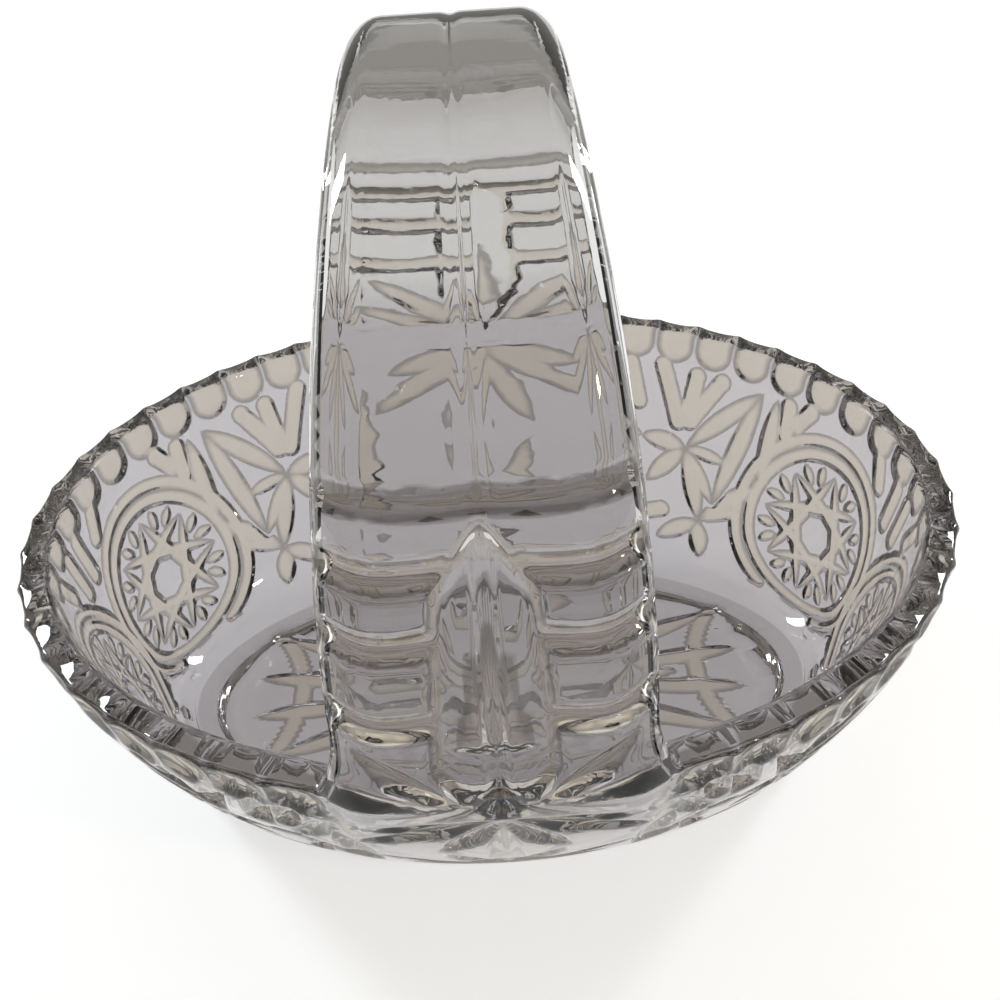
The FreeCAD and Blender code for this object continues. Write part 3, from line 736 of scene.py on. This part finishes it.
def make_settle_tree():
    tree, given, result = new_tree(
        "Settle the pattern", {"Rounds": ("Int", 2), "Glass": ("Material", None)})
    depth = add(tree, "GeometryNodeInputNamedAttribute", {"Name": "pressed"}, data_type="FLOAT")[0]
    rounds = {0: depth, "Iterations": given["Rounds"]}
    soft = add(tree, "GeometryNodeBlurAttribute", rounds, data_type="FLOAT")[0]
    outward = add(tree, "GeometryNodeInputNamedAttribute", {"Name": "outward"}, data_type="FLOAT_VECTOR")[0]
    inwards = add(tree, "ShaderNodeVectorMath", {0: outward, "Scale": sums(tree, "MULTIPLY", soft, -1.0)},
                  operation="SCALE")[0]
    sunk = add(tree, "GeometryNodeSetPosition", {"Geometry": given["Geometry"], "Offset": inwards})[0]
    whole = add(tree, "GeometryNodeRealizeInstances", {"Geometry": sunk})[0]
    shown = add(tree, "GeometryNodeSetMaterial", {"Geometry": whole, "Material": given["Glass"]})[0]
    tree.links.new(shown, result[0])
    return tree


# %% [markdown]
# ## Clear pressed glass
# The finish is a Principled shader with full transmission and the index of common glass. What makes
# pressed glass look real is its surface: a faint ripple from the mould, which bends what is seen through
# it, a few smudges from fingers, and scuffs under the foot where it has stood on tables. The ripple is a
# shader node group with named inputs, so that other glass could use it. The tint is a neutral grey, and it
# is painted shade: it stands in for the grey room seen through the clear glass. It is lighter on the handle
# above the rim. The grooves get a warmer painted shade, and a dark painted shade line runs along their
# edges. How deep a point was pressed says where that is.
# %% Glass material
# Painted shade: these grey tints stand in for the grey room seen through the clear glass; the handle's is
# lighter.
BOWL_SHADE_TINT, HANDLE_SHADE_TINT = (0.50, 0.475, 0.495, 1), (0.74, 0.73, 0.725, 1)
# Painted shade in the grooves, warmer and darker than the plain glass.
BOWL_GROOVE_SHADE, HANDLE_GROOVE_SHADE = (0.48, 0.415, 0.325, 1), (0.60, 0.54, 0.45, 1)
# Painted shade: a dark line along the edges of every groove.
EDGE_SHADE_COLOUR, EDGE_SHADE_STRENGTH = (0.10, 0.09, 0.08, 1), 0.85
GROOVE_SHADE_FROM, GROOVE_SHADE_TO = (0.1, 0.6), (1.6, 1.8)      # mm pressed in, from none to all of it and back
EDGE_SHADE_FROM, EDGE_SHADE_TO = (0.05, 0.2), (0.45, 1.0)
HANDLE_SHADE_HEIGHTS = (66 * MM, 84 * MM)                  # heights between which the painted shade gets lighter
SMUDGE_ROUGHNESS, SCUFF_ROUGHNESS, RIPPLE_HEIGHT = 0.06, 0.35, 0.4 * MM


def ripple_group():
    group = bpy.data.node_groups.new("Mould ripple", "ShaderNodeTree")
    for label, value in (("Wave Scale", 60.0), ("Grain Scale", 900.0)):
        socket = group.interface.new_socket(label, in_out="INPUT", socket_type="NodeSocketFloat")
        socket.default_value = value
    for label in ("Height", "Polish"):
        group.interface.new_socket(label, in_out="OUTPUT", socket_type="NodeSocketFloat")
    given, result = group.nodes.new("NodeGroupInput").outputs, group.nodes.new("NodeGroupOutput").inputs
    place = add(group, "ShaderNodeTexCoord")["Object"]
    waves = {"Vector": place, "Scale": given["Wave Scale"], "Detail": 1.0}
    grains = {"Vector": place, "Scale": given["Grain Scale"], "Detail": 0.0}
    wave = add(group, "ShaderNodeTexNoise", waves)[0]
    grain = add(group, "ShaderNodeTexNoise", grains)[0]
    group.links.new(sums(group, "ADD", wave, sums(group, "MULTIPLY", grain, 0.03)), result["Height"])
    group.links.new(grain, result["Polish"])
    return group


def glass_material():
    glass = bpy.data.materials.new("clear_pressed_glass")
    glass.use_nodes = True
    tree = glass.node_tree
    skin = tree.nodes["Principled BSDF"]
    place = add(tree, "ShaderNodeTexCoord")["Object"]
    height = add(tree, "ShaderNodeSeparateXYZ", {0: place})["Z"]
    handle_share = add(tree, "ShaderNodeMapRange", {
        "Value": height, "From Min": HANDLE_SHADE_HEIGHTS[0], "From Max": HANDLE_SHADE_HEIGHTS[1]})[0]
    # The grey tint is painted shade, lighter on the handle above the rim.
    plain = add(tree, "ShaderNodeMix", {0: handle_share, 6: BOWL_SHADE_TINT, 7: HANDLE_SHADE_TINT}, data_type="RGBA")[2]
    groove_shade_tint = add(tree, "ShaderNodeMix", {0: handle_share, 6: BOWL_GROOVE_SHADE, 7: HANDLE_GROOVE_SHADE}, data_type="RGBA")[2]
    pressed = add(tree, "ShaderNodeAttribute", attribute_name="pressed")["Fac"]

    def between(low, high):
        limits = {"Value": pressed, "From Min": low * MM, "From Max": high * MM}
        return add(tree, "ShaderNodeMapRange", limits)[0]

    # Painted shade in the grooves, warmer than the plain glass, by how deep a point was pressed.
    groove_shade_mask = sums(tree, "SUBTRACT", between(*GROOVE_SHADE_FROM), between(*GROOVE_SHADE_TO))
    # A dark painted shade line where a point is pressed in only a little, along the groove edges.
    line = sums(tree, "SUBTRACT", between(*EDGE_SHADE_FROM), between(*EDGE_SHADE_TO))
    edge = sums(tree, "MULTIPLY", line, EDGE_SHADE_STRENGTH)
    tint = add(tree, "ShaderNodeMix", {0: groove_shade_mask, 6: plain, 7: groove_shade_tint}, data_type="RGBA")[2]
    edge_shaded = add(tree, "ShaderNodeMix", {0: edge, 6: tint, 7: EDGE_SHADE_COLOUR}, data_type="RGBA")[2]
    tree.links.new(edge_shaded, skin.inputs["Base Color"])
    skin.inputs["Transmission Weight"].default_value = 1.0
    skin.inputs["IOR"].default_value = 1.52
    ripple = add(tree, "ShaderNodeGroup", node_tree=ripple_group())
    under = add(tree, "ShaderNodeMapRange", {
        "Value": height, "From Min": 0.2 * MM, "From Max": 1.2 * MM, "To Min": 1.0, "To Max": 0.0})[0]
    worn = add(tree, "ShaderNodeTexNoise", {"Vector": place, "Scale": 700.0, "Detail": 2.0})[0]
    scuff = sums(tree, "MULTIPLY", sums(tree, "MULTIPLY", under, worn), SCUFF_ROUGHNESS)
    smudge = add(tree, "ShaderNodeMapRange", {
        "Value": ripple["Polish"], "From Min": 0.66, "From Max": 0.8, "To Max": SMUDGE_ROUGHNESS})[0]
    tree.links.new(sums(tree, "ADD", smudge, scuff), skin.inputs["Roughness"])
    waves = {"Height": ripple["Height"], "Strength": 0.18, "Distance": RIPPLE_HEIGHT}
    tree.links.new(add(tree, "ShaderNodeBump", waves)[0], skin.inputs["Normal"])
    return glass


glass = glass_material()
print("glass:", glass.name, "with", len(glass.node_tree.nodes), "nodes")

# %% [markdown]
# ## One piece of glass
# The presses run one after another on the bowl and on the strap. Then the two are joined by a Boolean,
# because light must not meet an inner skin where the real thing is solid. The corners that the join
# leaves at the rim are relaxed, as the polishing flame relaxes them, and faces are taken out where the
# glass is plain.
# %% Press, join and relax
press_tree, settle_tree = make_press_tree(), make_settle_tree()
# Each kind of stroke comes with its Roundness and its Softness.
ON_BOWL = [
    (stroke_object("long_mitres", long_strokes), 1.8, 1.0),
    (stroke_object("fine_mitres", fine_strokes), 1.8, 1.0),
    (stroke_object("stars", star_strokes()), 1.5, 1.0),
    (stroke_object("fingers", finger_strokes), 3.0, 1.0),
    (stroke_object("bands", band_strokes()), 2.0, 1.0),
    (stroke_object("base_rays", base_strokes), 1.8, 1.0),
    (flutes, 3.0, 1.6),
]
ON_STRAP = [
    (stroke_object("rungs", rung_strokes()), 2.5, 1.0),
    (stroke_object("fan", fan_strokes()), 1.8, 1.0),
]
ON_BOTH = [
    (stroke_object("leaves", leaf_strokes()), 7.0, 1.0),
    (stroke_object("leaf_lines", leaf_lines()), 1.6, 1.0),
]
for piece, kinds in ((bowl, ON_BOWL + ON_BOTH), (strap, ON_STRAP + ON_BOTH)):
    for strokes, roundness, softness in kinds:
        put_on(piece, press_tree, strokes=strokes, roundness=roundness, softness=softness)
    put_on(piece, settle_tree, rounds=2, glass=glass)
    bake(piece)

join = bowl.modifiers.new("join", "BOOLEAN")
join.operation, join.solver, join.object = "UNION", "MANIFOLD", strap
bake(bowl)
print("joined:", len(bowl.data.vertices), "points, cm3:", round(signed_volume(bowl.data) * 1e6, 1))

# %% Relax the corners of the join
RELAX_ACROSS, RELAX_UP, LEG_FROM = 4 * MM, 5 * MM, 60 * MM
TRIANGLES = 190000
places = np.zeros(len(bowl.data.vertices) * 3, np.float32)
bowl.data.vertices.foreach_get("co", places)
x, y, z = np.abs(places.reshape(-1, 3).T)
beside = 1 - np.abs(x - float(strap_half(1.5))) / RELAX_ACROSS
level = 1 - np.abs(z - RIM_HEIGHT - 0.5 * MM) / RELAX_UP
weight = np.clip(np.minimum(beside, level) * 2, 0, 1) * (y > LEG_FROM)
corner_group = bowl.vertex_groups.new(name="corners")
for i in np.nonzero(weight)[0]:
    corner_group.add([int(i)], float(weight[i]), "REPLACE")
relax = bowl.modifiers.new("relax", "SMOOTH")
relax.factor, relax.iterations, relax.vertex_group = 0.5, 14, "corners"
thin = bowl.modifiers.new("thin", "DECIMATE")
thin.ratio = TRIANGLES / (2 * len(bowl.data.vertices))
bake(bowl)
bowl.vertex_groups.clear()
bowl.data.shade_smooth()
bowl.data.materials.clear()
bowl.data.materials.append(glass)
print("finished cm3:", round(signed_volume(bowl.data) * 1e6, 1), "triangles:", len(bowl.data.loop_triangles))
meshes = [o for o in bpy.context.scene.objects if o.type == "MESH" and "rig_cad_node" not in o]
for helper in [o for o in meshes if o is not bowl]:
    bpy.data.objects.remove(helper)

# %% Place in the frame
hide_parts("glass_basket")
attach(bowl, "root")

# %% [markdown]
# ## Table, light and camera
# Clear glass shows only what is round it. The table is plain and pale. Wherever it is seen, also through
# the glass, a glow is added that brings it up to white and leaves the basket's shadow on it. The room
# above is a mid grey, so that the sides of the grooves that look up stand out against the table. Two soft
# boxes give the long highlights on the strap and the rim, and a small warm lamp gives a few glints.
# %% Table and room
GLOW = 0.58


def table_material():
    cloth = bpy.data.materials.new("pale_table")
    cloth.use_nodes = True
    tree = cloth.node_tree
    skin = tree.nodes["Principled BSDF"]
    skin.inputs["Base Color"].default_value = (0.82, 0.82, 0.82, 1)
    skin.inputs["Roughness"].default_value = 0.7
    path = add(tree, "ShaderNodeLightPath")
    seen = sums(tree, "MAXIMUM", path["Is Camera Ray"], path["Is Glossy Ray"])
    seen = sums(tree, "MAXIMUM", seen, path["Is Transmission Ray"])
    strength = sums(tree, "MULTIPLY", seen, GLOW)
    glow = add(tree, "ShaderNodeEmission", {"Color": (1, 1, 1, 1), "Strength": strength})[0]
    both = add(tree, "ShaderNodeAddShader", {0: skin.outputs[0], 1: glow})[0]
    tree.links.new(both, tree.nodes["Material Output"].inputs["Surface"])
    return cloth


mesh = bpy.data.meshes.new("table")
mesh.from_pydata([(-3, -3, 0), (3, -3, 0), (3, 3, 0), (-3, 3, 0)], [], [(0, 1, 2, 3)])
mesh.transform(Matrix.Translation((0, 0, -0.05 * MM)))
table = bpy.data.objects.new("table", mesh)
table.data.materials.append(table_material())
bpy.context.scene.collection.objects.link(table)

room = bpy.data.worlds.new("room")
room.use_nodes = True
room.node_tree.nodes["Background"].inputs["Color"].default_value = (0.34, 0.33, 0.31, 1)
room.node_tree.nodes["Background"].inputs["Strength"].default_value = 1.0
bpy.context.scene.world = room


# %% Lamps
def soft_box(name, place, aim, width, height, power, colour):
    lamp = bpy.data.lights.new(name, "AREA")
    lamp.shape, lamp.size, lamp.size_y = "RECTANGLE", width, height
    lamp.energy, lamp.color = power, colour
    made = bpy.data.objects.new(name, lamp)
    turn = (Vector(aim) - Vector(place)).to_track_quat("-Z", "Y")
    made.matrix_world = Matrix.Translation(place) @ turn.to_matrix().to_4x4()
    bpy.context.scene.collection.objects.link(made)


soft_box("window", (-0.75, 0.45, 0.60), (0, 0, 0.08), 0.12, 0.36, 3.5, (0.85, 0.96, 1.0))
soft_box("side", (0.75, 0.42, 0.55), (0, 0, 0.08), 0.10, 0.30, 2.5, (0.88, 0.96, 1.0))
soft_box("warm", (0.5, -0.35, 0.45), (0, 0, 0.05), 0.05, 0.05, 0.5, (1.0, 0.80, 0.55))

# %% [markdown]
# ## Camera
# The photograph looks down at the basket from close by, with the handle's near leg towards the camera. A
# camera was fitted to the outline of the bowl and the strap: about 26 cm from the middle of the base, 40
# degrees down, and rolled by a few degrees.
# %% Camera
PLACE = Vector((3.0, -161.6, 199.0)) * MM
PITCH, ROLL = math.radians(39.8), math.radians(-3.76)
forward = Vector((0, math.cos(PITCH), -math.sin(PITCH)))
up = Vector((0, math.sin(PITCH), math.cos(PITCH)))
side = Vector((1, 0, 0))
right = side * math.cos(ROLL) + up * math.sin(ROLL)
top = up * math.cos(ROLL) - side * math.sin(ROLL)
lens = bpy.data.cameras.new("camera")
lens.lens, lens.sensor_width = 36.0, 36.0
lens.clip_start, lens.clip_end = 0.01, 20.0
camera = bpy.data.objects.new("camera", lens)
camera.matrix_world = Matrix.Translation(PLACE) @ Matrix((right, top, -forward)).transposed().to_4x4()
bpy.context.scene.collection.objects.link(camera)
bpy.context.scene.camera = camera
bpy.context.scene.view_settings.view_transform = "Standard"
